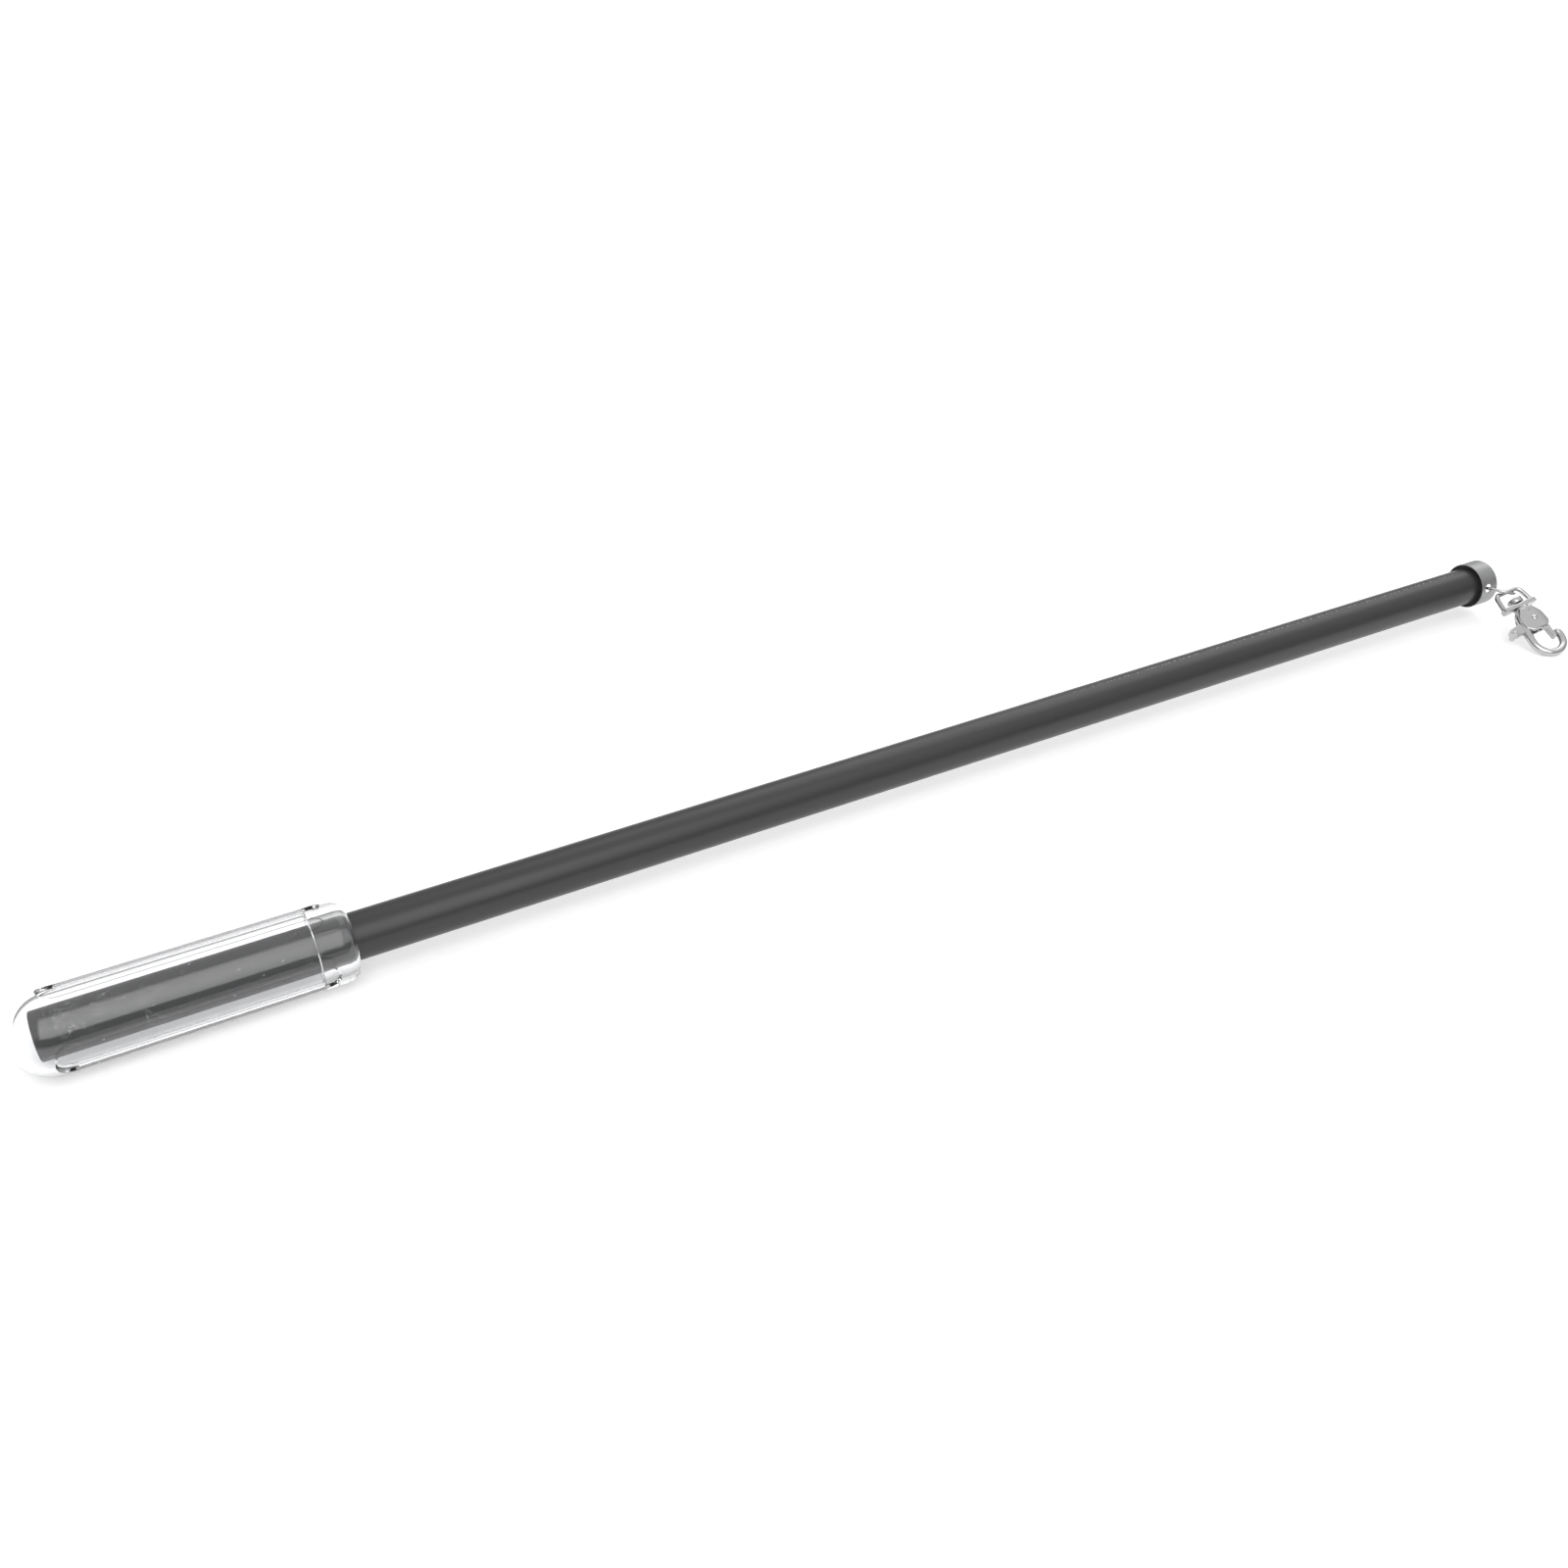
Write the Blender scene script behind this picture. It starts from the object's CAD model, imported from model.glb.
"""Looks of a curtain wand: dark tube, fluted clear grip, satin ferrule and swivel clasp.

The wand lies along X with its axis on Y = 0, Z = 0, and the ferrule's side hole is at X = 0.
Angles about the wand are measured from -Y towards +Z. Sizes are in millimetres until a mesh
is written in metres.
"""
import logging
import math
from dataclasses import dataclass, field
from enum import Enum
from typing import Callable

import bmesh
import bpy
import numpy as np
from mathutils import Matrix, Vector


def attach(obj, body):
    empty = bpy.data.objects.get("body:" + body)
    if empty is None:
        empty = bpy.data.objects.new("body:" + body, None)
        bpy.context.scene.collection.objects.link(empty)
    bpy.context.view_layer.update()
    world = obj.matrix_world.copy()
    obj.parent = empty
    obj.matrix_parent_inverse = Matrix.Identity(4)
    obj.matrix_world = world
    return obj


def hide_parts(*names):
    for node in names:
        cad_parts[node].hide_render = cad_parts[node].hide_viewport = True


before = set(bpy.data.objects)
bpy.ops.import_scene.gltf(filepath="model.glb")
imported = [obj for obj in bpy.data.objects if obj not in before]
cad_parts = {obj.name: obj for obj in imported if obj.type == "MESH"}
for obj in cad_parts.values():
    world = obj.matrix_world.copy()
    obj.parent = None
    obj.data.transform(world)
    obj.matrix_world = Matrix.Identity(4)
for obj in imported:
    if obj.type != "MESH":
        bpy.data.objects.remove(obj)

LOG = logging.getLogger("curtain_wand")
MM = 0.001
UP = np.array([0.0, 0.0, 1.0])


class Body(Enum):
    """The wand's rigid bodies, by the names that the frame gives them."""

    WAND = "wand"
    RING = "ring"
    EYE = "eye"
    HOOK = "hook"
    TRIGGER = "trigger"


# ---------------------------------------------------------------- numbers and directions


def polar(angle: float) -> np.ndarray:
    """Gives the unit vector at an angle about the wand, from -Y towards +Z.

    Args:
        angle: The angle in degrees.

    Returns:
        (0, -cos a, sin a).
    """
    a = math.radians(angle)
    return np.array([0.0, -math.cos(a), math.sin(a)])


def turn_x(angle: float) -> np.ndarray:
    """Gives the matrix that turns by an angle in degrees about X."""
    c, s = math.cos(math.radians(angle)), math.sin(math.radians(angle))
    return np.array([[1.0, 0.0, 0.0], [0.0, c, -s], [0.0, s, c]])


def turn_y(angle: float) -> np.ndarray:
    """Gives the matrix that turns by an angle in degrees about Y."""
    c, s = math.cos(math.radians(angle)), math.sin(math.radians(angle))
    return np.array([[c, 0.0, s], [0.0, 1.0, 0.0], [-s, 0.0, c]])


def full_turn(steps: int) -> np.ndarray:
    """Gives evenly spaced angles in radians round a full turn, its end left out."""
    return np.linspace(0.0, 2.0 * np.pi, steps, endpoint=False)


def smooth_step(value: np.ndarray) -> np.ndarray:
    """Gives 3 t^2 - 2 t^3 of the values held between 0 and 1."""
    t = np.clip(value, 0.0, 1.0)
    return t * t * (3.0 - 2.0 * t)


def arc(centre: tuple[float, float], radius: float, start: float, end: float,
        steps: int) -> np.ndarray:
    """Gives points on an arc: centre + radius (cos a, sin a), a from start to end in degrees.

    Args:
        centre: The arc's centre.
        radius: Its radius.
        start: The first angle in degrees.
        end: The last angle in degrees.
        steps: The number of points, both ends included.

    Returns:
        An array of steps by 2.
    """
    a = np.radians(np.linspace(start, end, steps))
    return np.stack([centre[0] + radius * np.cos(a), centre[1] + radius * np.sin(a)], axis=1)


def run(start: tuple[float, float], end: tuple[float, float], steps: int) -> np.ndarray:
    """Gives evenly spaced points on a straight run, the last one left out."""
    t = np.linspace(0.0, 1.0, steps, endpoint=False)[:, None]
    return np.array(start) * (1.0 - t) + np.array(end) * t


def rounded(corners: list[tuple[float, float, float]], steps: int = 5) -> np.ndarray:
    """Rounds the corners of a closed outline with arcs tangent to both sides.

    At a corner of half angle h between its sides, an arc of radius r starts r / tan h along
    each side, and its centre is r / sin h along the bisector.

    Args:
        corners: (x, y, radius) for each corner, in order.
        steps: Points on each arc.

    Returns:
        The outline's points in order.
    """
    points = np.array([c[:2] for c in corners], float)
    out = []
    for i, (_, _, radius) in enumerate(corners):
        here = points[i]
        before = points[i - 1] - here
        after = points[(i + 1) % len(points)] - here
        reach = 0.48 * min(np.linalg.norm(before), np.linalg.norm(after))
        before /= np.linalg.norm(before)
        after /= np.linalg.norm(after)
        half = 0.5 * math.acos(float(np.clip(before @ after, -1.0, 1.0)))
        radius = min(radius, reach * math.tan(half))
        if radius < 1e-6:
            out.append(here[None])
            continue
        start = here + before * radius / math.tan(half)
        end = here + after * radius / math.tan(half)
        bisector = before + after
        centre = here + bisector / np.linalg.norm(bisector) * radius / math.sin(half)
        a0 = math.atan2(*(start - centre)[::-1])
        a1 = math.atan2(*(end - centre)[::-1])
        sweep = (a1 - a0 + math.pi) % (2.0 * math.pi) - math.pi
        a = a0 + np.linspace(0.0, 1.0, steps) * sweep
        out.append(centre + radius * np.stack([np.cos(a), np.sin(a)], axis=1))
    return np.concatenate(out)


# ---------------------------------------------------------------- meshes


@dataclass
class Shell:
    """Gathers patches of points into one mesh.

    Each patch is a function of two parameters worked out on a grid of rows by columns. Its
    neighbours in the grid become faces, and rows that shrink to one point become poles.
    """

    points: list[np.ndarray] = field(default_factory=list)
    faces: list[list[int]] = field(default_factory=list)
    count: int = 0

    def patch(self, grid: np.ndarray, wrap: bool = True, close: bool = False) -> "Shell":
        """Adds a grid of points.

        Args:
            grid: Rows by columns by 3, in millimetres.
            wrap: Whether the last column meets the first.
            close: Whether the last row meets the first.

        Returns:
            The shell itself.
        """
        rows, cols = grid.shape[:2]
        index = np.arange(rows * cols).reshape(rows, cols) + self.count
        if wrap:
            index = np.concatenate([index, index[:, :1]], axis=1)
        if close:
            index = np.concatenate([index, index[:1]], axis=0)
        quads = np.stack([index[:-1, :-1], index[:-1, 1:], index[1:, 1:], index[1:, :-1]], axis=-1)
        self.faces += quads.reshape(-1, 4).tolist()
        self.points.append(grid.reshape(-1, 3))
        self.count += rows * cols
        return self

    def plate(self, outline: np.ndarray, low: float, high: float) -> "Shell":
        """Adds a flat plate: an outline carried from height low to height high.

        Args:
            outline: The outline's points, n by 2.
            low: The height of the lower face.
            high: The height of the upper face.

        Returns:
            The shell itself.
        """
        n = len(outline)
        base = self.count
        grid = np.stack([np.column_stack([outline, np.full(n, h)]) for h in (low, high)])
        self.patch(grid)
        self.faces += [list(range(base, base + n))[::-1], list(range(base + n, base + 2 * n))]
        return self

    def moved(self, change: Callable[[np.ndarray], np.ndarray]) -> "Shell":
        """Puts every point gathered so far through a change of place."""
        self.points = [change(p) for p in self.points]
        return self

    def build(self, name: str, sharp: float = 35.0, bevel: float = 0.0) -> bpy.types.Object:
        """Writes the mesh in metres, with its faces outwards.

        Args:
            name: The piece's name.
            sharp: Edges that turn by more than this many degrees stay sharp.
            bevel: Radius in millimetres of a live bevel on the sharp edges.

        Returns:
            The new object.
        """
        mesh = bpy.data.meshes.new(name)
        mesh.from_pydata((np.concatenate(self.points) * MM).tolist(), [], self.faces)
        shape = bmesh.new()
        shape.from_mesh(mesh)
        bmesh.ops.remove_doubles(shape, verts=shape.verts, dist=2e-7)
        bmesh.ops.recalc_face_normals(shape, faces=shape.faces)
        shape.to_mesh(mesh)
        shape.free()
        mesh.shade_smooth()
        mesh.set_sharp_from_angle(angle=math.radians(sharp))
        piece = bpy.data.objects.new(name, mesh)
        bpy.context.scene.collection.objects.link(piece)
        if bevel:
            edge = piece.modifiers.new("edge", "BEVEL")
            edge.width = bevel * MM
            edge.segments = 3
            edge.limit_method = "ANGLE"
            edge.angle_limit = math.radians(40.0)
            edge.harden_normals = True
        return piece


def lathe(profile: np.ndarray, sides: int = 96) -> np.ndarray:
    """Turns a profile about X: (x, r) becomes (x, -r cos a, r sin a).

    Args:
        profile: Rows of station x and radius r.
        sides: Points round the axis.

    Returns:
        A grid of rows by sides by 3.
    """
    a = full_turn(sides)
    x = np.repeat(profile[:, :1], sides, axis=1)
    r = profile[:, 1:2]
    return np.stack([x, -r * np.cos(a), r * np.sin(a)], axis=-1)


def hung(grid: np.ndarray) -> np.ndarray:
    """Turns a grid about Z, so that what runs along X runs down along -Y."""
    return np.stack([grid[..., 1], -grid[..., 0], grid[..., 2]], axis=-1)


def wire(path: np.ndarray, radius: np.ndarray, across: np.ndarray, sides: int = 24,
         closed: bool = False, flatten: float = 1.0) -> np.ndarray:
    """Carries a round section along a path.

    At each point the section lies in the plane of the unit vectors b, across made square to
    the path's tangent t, and n = b x t: point + r (f cos a n + sin a b), f being the
    flattening.

    Args:
        path: The path's points, n by 3.
        radius: The section's radius at each point.
        across: A direction that the path never runs along.
        sides: Points round the section.
        closed: Whether the path meets its own start.
        flatten: The section's width over its depth.

    Returns:
        A grid of path points by sides by 3.
    """
    if closed:
        t = np.roll(path, -1, axis=0) - np.roll(path, 1, axis=0)
    else:
        t = np.gradient(path, axis=0)
    t /= np.linalg.norm(t, axis=1, keepdims=True)
    b = across - (t @ across)[:, None] * t
    b /= np.linalg.norm(b, axis=1, keepdims=True)
    n = np.cross(b, t)
    a = full_turn(sides)
    r = np.broadcast_to(radius, (len(path),))[:, None, None]
    return (path[:, None, :] + r * (flatten * np.cos(a)[None, :, None] * n[:, None, :]
                                    + np.sin(a)[None, :, None] * b[:, None, :]))


# ---------------------------------------------------------------- shader groups


class Nodes:
    """A node tree that is wired in words."""

    def __init__(self, tree: bpy.types.NodeTree) -> None:
        """Keeps the tree and empties it."""
        self.tree = tree
        tree.nodes.clear()

    def add(self, kind: str, **settings: object) -> bpy.types.Node:
        """Adds a node.

        Args:
            kind: Its type without the ShaderNode in front.
            settings: Its properties.

        Returns:
            The node.
        """
        node = self.tree.nodes.new(kind if kind.startswith("NodeGroup") else "ShaderNode" + kind)
        for key, value in settings.items():
            setattr(node, key, value)
        return node

    def link(self, source: bpy.types.NodeSocket, target: bpy.types.NodeSocket) -> None:
        """Joins an output to an input."""
        self.tree.links.new(source, target)

    def feed(self, target: bpy.types.NodeSocket, value: object) -> None:
        """Sets a socket to a number or joins it to an output."""
        if isinstance(value, bpy.types.NodeSocket):
            self.link(value, target)
        else:
            target.default_value = value

    def math(self, operation: str, a: object, b: object = 0.0, c: object = 0.0,
             clamp: bool = False) -> bpy.types.NodeSocket:
        """Adds a math node.

        Args:
            operation: Its operation.
            a: Its first number or output.
            b: Its second.
            c: Its third.
            clamp: Whether the result is held between 0 and 1.

        Returns:
            The result's socket.
        """
        node = self.add("Math", operation=operation, use_clamp=clamp)
        for i, value in enumerate((a, b, c)):
            self.feed(node.inputs[i], value)
        return node.outputs[0]

    def band(self, value: object, low: float, high: float) -> bpy.types.NodeSocket:
        """Gives a smooth step of a value from 0 at low to 1 at high."""
        node = self.add("MapRange", interpolation_type="SMOOTHSTEP")
        for name, item in (("Value", value), ("From Min", low), ("From Max", high)):
            self.feed(node.inputs[name], item)
        return node.outputs["Result"]

    def mix(self, factor: object, a: object, b: object) -> bpy.types.NodeSocket:
        """Mixes two colours and gives the result's socket."""
        node = self.add("Mix", data_type="RGBA")
        for i, value in ((0, factor), (6, a), (7, b)):
            self.feed(node.inputs[i], value)
        return node.outputs[2]

    def place(self) -> bpy.types.NodeSocket:
        """Gives the piece's own coordinates in metres."""
        return self.add("TexCoord").outputs["Object"]

    def axes(self, place: bpy.types.NodeSocket) -> list[bpy.types.NodeSocket]:
        """Splits coordinates into x, y and z."""
        node = self.add("SeparateXYZ")
        self.link(place, node.inputs[0])
        return list(node.outputs)

    def hypot(self, a: object, b: object) -> bpy.types.NodeSocket:
        """Gives sqrt(a^2 + b^2)."""
        squares = [self.math("MULTIPLY", v, v) for v in (a, b)]
        return self.math("SQRT", self.math("ADD", *squares))

    def stretch(self, place: bpy.types.NodeSocket,
                scale: tuple[float, float, float]) -> bpy.types.NodeSocket:
        """Scales coordinates by a number for each axis."""
        node = self.add("Mapping")
        node.inputs["Scale"].default_value = scale
        self.link(place, node.inputs["Vector"])
        return node.outputs[0]

    def noise(self, place: bpy.types.NodeSocket, scale: object, detail: float = 2.0,
              **settings: float) -> bpy.types.NodeSocket:
        """Adds clouds of noise.

        Args:
            place: The coordinates.
            scale: The clouds' scale.
            detail: Their detail.
            settings: Other inputs by name.

        Returns:
            The clouds' value, near 0.5.
        """
        node = self.add("TexNoise")
        for key, value in {"Vector": place, "Scale": scale, "Detail": detail, **settings}.items():
            self.feed(node.inputs[key], value)
        return node.outputs[0]


def new_group(name: str, inputs: dict[str, tuple[str, object]],
              outputs: dict[str, str]) -> tuple[bpy.types.NodeTree, Nodes, object, object]:
    """Starts a shader node group.

    Args:
        name: The group's name.
        inputs: Socket type and first value by name.
        outputs: Socket type by name.

    Returns:
        The group, its nodes, its input node and its output node.
    """
    tree = bpy.data.node_groups.new(name, "ShaderNodeTree")
    for key, (kind, value) in inputs.items():
        socket = tree.interface.new_socket(key, in_out="INPUT", socket_type=kind)
        socket.default_value = value
    for key, kind in outputs.items():
        tree.interface.new_socket(key, in_out="OUTPUT", socket_type=kind)
    nodes = Nodes(tree)
    return tree, nodes, nodes.add("NodeGroupInput"), nodes.add("NodeGroupOutput")


def mottle_group() -> bpy.types.NodeTree:
    """Makes the group for handling marks: broad soft clouds with finer ones in them.

    Returns:
        A group whose Value is 1 plus or minus Amount.
    """
    tree, n, start, end = new_group(
        "handling_mottle",
        {"Scale": ("NodeSocketFloat", 60.0), "Amount": ("NodeSocketFloat", 0.15)},
        {"Value": "NodeSocketFloat"})
    cloud = n.noise(n.place(), start.outputs["Scale"], 6.0, Roughness=0.6)
    centred = n.math("MULTIPLY_ADD", cloud, 4.0, -2.0)
    swing = n.math("MULTIPLY", centred, start.outputs["Amount"])
    n.link(n.math("ADD", swing, 1.0), end.inputs["Value"])
    return tree


def scratch_group() -> bpy.types.NodeTree:
    """Makes the group for hairline scratches: thin level lines of clouds, in patches.

    Returns:
        A group whose Mask is 1 on a scratch, and whose Height dips there.
    """
    tree, n, start, end = new_group(
        "hairline_scratches",
        {"Scale": ("NodeSocketFloat", 400.0), "Width": ("NodeSocketFloat", 0.01),
         "Share": ("NodeSocketFloat", 0.4)},
        {"Mask": "NodeSocketFloat", "Height": "NodeSocketFloat"})
    place = n.place()
    cloud = n.noise(place, start.outputs["Scale"])
    off = n.math("ABSOLUTE", n.math("SUBTRACT", cloud, 0.5))
    line = n.math("SUBTRACT", 1.0, n.math("DIVIDE", off, start.outputs["Width"]), clamp=True)
    patchy = n.noise(place, 220.0)
    near = n.math("SUBTRACT", start.outputs["Share"], n.math("SUBTRACT", 1.0, patchy))
    mask = n.math("MULTIPLY", line, n.math("MULTIPLY", near, 6.0, clamp=True))
    n.link(mask, end.inputs["Mask"])
    n.link(n.math("MULTIPLY", mask, -1.0), end.inputs["Height"])
    return tree


def speck_group() -> bpy.types.NodeTree:
    """Makes the group for small round specks: the middles of scattered cells.

    Returns:
        A group whose Mask is 1 in a speck.
    """
    tree, n, start, end = new_group(
        "round_specks",
        {"Scale": ("NodeSocketFloat", 900.0), "Size": ("NodeSocketFloat", 0.2),
         "Share": ("NodeSocketFloat", 0.3)},
        {"Mask": "NodeSocketFloat"})
    cells = n.add("TexVoronoi")
    n.link(n.place(), cells.inputs["Vector"])
    n.link(start.outputs["Scale"], cells.inputs["Scale"])
    spot = n.math("LESS_THAN", cells.outputs["Distance"], start.outputs["Size"])
    parts = n.add("SeparateColor")
    n.link(cells.outputs["Color"], parts.inputs[0])
    chosen = n.math("LESS_THAN", parts.outputs[0], start.outputs["Share"])
    n.link(n.math("MULTIPLY", spot, chosen), end.inputs["Mask"])
    return tree


@dataclass(frozen=True)
class Groups:
    """The node groups that the finishes share."""

    mottle: bpy.types.NodeTree
    scratches: bpy.types.NodeTree
    specks: bpy.types.NodeTree


def use_group(nodes: Nodes, tree: bpy.types.NodeTree, **values: object) -> bpy.types.Node:
    """Places a group in a material.

    Args:
        nodes: The material's nodes.
        tree: The group.
        values: Its inputs by name.

    Returns:
        The group's node.
    """
    node = nodes.add("Group", node_tree=tree)
    for key, value in values.items():
        nodes.feed(node.inputs[key], value)
    return node


def opaque(colour: tuple[float, float, float], shade: float = 1.0) -> tuple[float, ...]:
    """Gives a colour times a shade, with full alpha."""
    return tuple(c * shade for c in colour) + (1.0,)


def start_material(name: str) -> tuple[bpy.types.Material, Nodes, bpy.types.Node]:
    """Starts a material with a Principled BSDF joined to its output.

    Args:
        name: The material's name.

    Returns:
        The material, its nodes and the shader.
    """
    material = bpy.data.materials.new(name)
    material.use_nodes = True
    nodes = Nodes(material.node_tree)
    shader = nodes.add("BsdfPrincipled")
    out = nodes.add("OutputMaterial")
    nodes.link(shader.outputs[0], out.inputs["Surface"])
    return material, nodes, shader


def bump(nodes: Nodes, shader: bpy.types.Node, height: object, depth: float) -> None:
    """Feeds a height in metres times depth to the shader's normal."""
    node = nodes.add("Bump")
    node.inputs["Distance"].default_value = depth
    node.inputs["Strength"].default_value = 1.0
    nodes.feed(node.inputs["Height"], height)
    nodes.link(node.outputs[0], shader.inputs["Normal"])


# ---------------------------------------------------------------- finishes


@dataclass(frozen=True)
class BrightMetal:
    """A plated or drawn metal with handling marks and hairline scratches."""

    name: str
    colour: tuple[float, float, float]
    roughness: float
    mottle: float = 0.2
    scratch_scale: float = 500.0
    scratch_share: float = 0.5
    scratch_rough: float = 0.18
    depth: float = 4e-6

    def make(self, groups: Groups) -> bpy.types.Material:
        """Builds the material.

        Args:
            groups: The shared node groups.

        Returns:
            The material.
        """
        material, n, shader = start_material(self.name)
        shader.inputs["Metallic"].default_value = 1.0
        clouds = use_group(n, groups.mottle, Scale=260.0, Amount=self.mottle)
        marks = use_group(n, groups.scratches, Scale=self.scratch_scale, Width=0.02,
                          Share=self.scratch_share)
        rough = n.math("MULTIPLY", clouds.outputs[0], self.roughness)
        rough = n.math("MULTIPLY_ADD", marks.outputs["Mask"], self.scratch_rough, rough,
                       clamp=True)
        n.link(rough, shader.inputs["Roughness"])
        tint = use_group(n, groups.mottle, Scale=90.0, Amount=0.05)
        worn = opaque(self.colour, 0.8)
        shade = n.mix(n.math("SUBTRACT", tint.outputs[0], 0.85, clamp=True), worn,
                      opaque(self.colour))
        n.link(shade, shader.inputs["Base Color"])
        bump(n, shader, marks.outputs["Height"], self.depth)
        return material


@dataclass(frozen=True)
class SatinAluminium:
    """Drawn aluminium: fine rings round the wand from the die, satin outside, dull inside."""

    name: str
    colour: tuple[float, float, float]
    roughness: float
    skin_r: float = 7.15
    skin_to: float = 3.8
    dull: tuple[float, float, float] = (0.02, 0.02, 0.02)
    rings: tuple[float, float, float] = (6000.0, 250.0, 250.0)
    ring_height: float = 6e-6

    def make(self, groups: Groups) -> bpy.types.Material:
        """Builds the material: streaks that run round the wand shade it and dent it.

        The inside is what lies within the radius skin_r, short of the turned edge at skin_to.

        Args:
            groups: The shared node groups.

        Returns:
            The material.
        """
        material, n, shader = start_material(self.name)
        shader.inputs["Metallic"].default_value = 1.0
        place = n.place()
        streak = n.noise(n.stretch(place, self.rings), 1.0, 3.0)
        clouds = use_group(n, groups.mottle, Scale=300.0, Amount=0.12)
        rough = n.math("MULTIPLY", clouds.outputs[0], self.roughness)
        n.link(n.math("MULTIPLY_ADD", streak, 0.12, rough), shader.inputs["Roughness"])
        dark = opaque(self.colour, 0.82)
        skin = n.mix(streak, dark, opaque(self.colour))
        x, y, z = n.axes(place)
        inside = n.math("MULTIPLY", n.math("LESS_THAN", n.hypot(y, z), self.skin_r * MM),
                        n.math("LESS_THAN", x, self.skin_to * MM))
        n.link(n.mix(inside, skin, opaque(self.dull)), shader.inputs["Base Color"])
        bump(n, shader, streak, self.ring_height)
        return material


@dataclass(frozen=True)
class TubePaint:
    """Satin dark grey paint on a metal tube whose sawn end and inside are bare.

    A hair-thin scuff line of bright specks runs along the tube, and pale traces of the
    fitting show on it inside the grip. Lengths are in millimetres.
    """

    name: str
    colour: tuple[float, float, float]
    bare: tuple[float, float, float]
    roughness: float
    end_x: float
    bare_r: float
    scuff_angle: float
    scuff_from: float
    scuff_to: float
    grip_mouth: float
    scuff_half: float = 0.09
    scuff_ease: float = 60.0
    trace_deep: float = 38.0
    trace_near: tuple[float, float] = (6.0, 16.0)
    pale: tuple[float, float, float] = (0.7, 0.7, 0.7)
    peel_height: float = 4e-6

    def make(self, groups: Groups) -> bpy.types.Material:
        """Builds the material.

        Args:
            groups: The shared node groups.

        Returns:
            The material.
        """
        material, n, shader = start_material(self.name)
        place = n.place()
        x, y, z = n.axes(place)
        inside = n.math("LESS_THAN", n.hypot(y, z), self.bare_r * MM)
        sawn = n.math("LESS_THAN", x, self.end_x * MM)
        bare = n.math("MAXIMUM", inside, sawn)

        # The scuff line: a narrow strip at one angle, broken up along the tube
        side = polar(self.scuff_angle)
        square = polar(self.scuff_angle + 90.0)
        facing = n.math("ADD", n.math("MULTIPLY", y, float(side[1])),
                        n.math("MULTIPLY", z, float(side[2])))
        away = n.math("ABSOLUTE", n.math("ADD", n.math("MULTIPLY", y, float(square[1])),
                                         n.math("MULTIPLY", z, float(square[2]))))
        strip = n.math("MULTIPLY", n.math("LESS_THAN", away, self.scuff_half * MM),
                       n.math("GREATER_THAN", facing, 0.0))
        grown = n.band(x, self.scuff_from * MM, (self.scuff_from + self.scuff_ease) * MM)
        reach = n.math("MULTIPLY", grown, n.math("LESS_THAN", x, self.scuff_to * MM))
        breaks = n.add("TexNoise", noise_dimensions="1D")
        breaks.inputs["Scale"].default_value = 900.0
        breaks.inputs["Detail"].default_value = 2.0
        n.link(x, breaks.inputs["W"])
        dashes = n.math("GREATER_THAN", breaks.outputs[0], 0.54)
        scuff = n.math("MULTIPLY", n.math("MULTIPLY", strip, reach), dashes)

        # Pale traces on the paint, deep in the grip and near its collar
        film = n.noise(place, 420.0, 3.0, Distortion=1.2)
        off_line = n.math("ABSOLUTE", n.math("SUBTRACT", film, 0.5))
        hair = n.math("LESS_THAN", off_line, 0.006)
        some = n.math("GREATER_THAN", n.noise(place, 130.0), 0.56)
        deep = n.math("LESS_THAN", x, (self.grip_mouth - self.trace_deep) * MM)
        first, last = ((self.grip_mouth - v) * MM for v in self.trace_near)
        early = n.math("MULTIPLY", n.math("LESS_THAN", x, first),
                       n.math("GREATER_THAN", x, last))
        traces = n.math("MULTIPLY", n.math("MULTIPLY", hair, some), n.math("MAXIMUM", deep, early))

        dust = use_group(n, groups.specks, Scale=1100.0, Size=0.10, Share=0.05)
        clouds = use_group(n, groups.mottle, Scale=45.0, Amount=0.08)
        deepened = opaque(self.colour, 0.86)
        base = n.mix(n.math("SUBTRACT", clouds.outputs[0], 0.5, clamp=True), deepened,
                     opaque(self.colour))
        base = n.mix(n.math("MULTIPLY", dust.outputs[0], 0.10), base, (0.45, 0.45, 0.45, 1.0))
        for mask, share in ((traces, 0.5), (scuff, 0.55)):
            base = n.mix(n.math("MULTIPLY", mask, share), base, opaque(self.pale))
        base = n.mix(bare, base, opaque(self.bare))
        n.link(base, shader.inputs["Base Color"])
        n.link(bare, shader.inputs["Metallic"])
        rough = n.math("MULTIPLY", clouds.outputs[0], self.roughness)
        n.link(n.math("MULTIPLY_ADD", bare, -0.05, rough), shader.inputs["Roughness"])

        # Orange peel of the paint, a few tenths of a millimetre across
        bump(n, shader, n.noise(place, 2600.0), self.peel_height)
        return material


@dataclass(frozen=True)
class ClearPlastic:
    """Clear moulded plastic: glossy, with the faint waviness of the mould."""

    name: str
    colour: tuple[float, float, float]
    roughness: float
    ior: float
    flow: tuple[float, float, float] = (60.0, 420.0, 420.0)
    wave_height: float = 5e-6

    def make(self, groups: Groups) -> bpy.types.Material:
        """Builds the material.

        Args:
            groups: The shared node groups.

        Returns:
            The material.
        """
        material, n, shader = start_material(self.name)
        shader.inputs["Base Color"].default_value = opaque(self.colour)
        shader.inputs["Transmission Weight"].default_value = 1.0
        shader.inputs["IOR"].default_value = self.ior
        specks = use_group(n, groups.specks, Scale=420.0, Size=0.07, Share=0.18)
        n.link(n.math("MULTIPLY_ADD", specks.outputs[0], 0.5, self.roughness),
               shader.inputs["Roughness"])
        waves = n.noise(n.stretch(n.place(), self.flow), 1.0, 1.5)
        bump(n, shader, waves, self.wave_height)
        return material


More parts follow.
